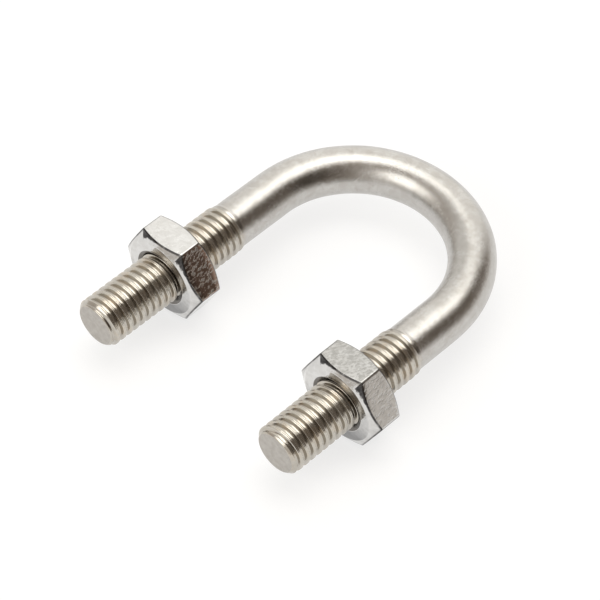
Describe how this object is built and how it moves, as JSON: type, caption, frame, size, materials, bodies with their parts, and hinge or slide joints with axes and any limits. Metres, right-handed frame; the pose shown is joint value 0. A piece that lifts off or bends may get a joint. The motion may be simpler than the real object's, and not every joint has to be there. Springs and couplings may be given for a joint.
{
  "type": "u-bolt",
  "caption": "Bent round rod with two parallel threaded legs and a hex nut on each leg, for clamping a pipe to a plate or rail.",
  "frame": {"origin": "centre of the bend arc, on the axis of the pipe it holds", "axes": "+Z along the pipe axis, +Y toward the top of the bend with the legs parallel to -Y, +X toward the right leg"},
  "size_m": [0.05, 0.0567, 0.0142],
  "materials": {
    "rod_steel": "satin stainless, rolled threads",
    "nut_steel": "bright stainless with fine wrench scratches"
  },
  "bodies": {
    "rod": {"u_rod": "rod_steel"},
    "left_nut": {"nut_left": "nut_steel"},
    "right_nut": {"nut_right": "nut_steel"}
  },
  "joints": [
    {"name": "nut_left_run", "type": "slide", "parent": "rod", "child": "left_nut", "axis": [0, -1, 0], "range_m": [-0.0075, 0.0225]},
    {"name": "nut_right_run", "type": "slide", "parent": "rod", "child": "right_nut", "axis": [0, -1, 0], "range_m": [-0.0075, 0.0225]}
  ]
}
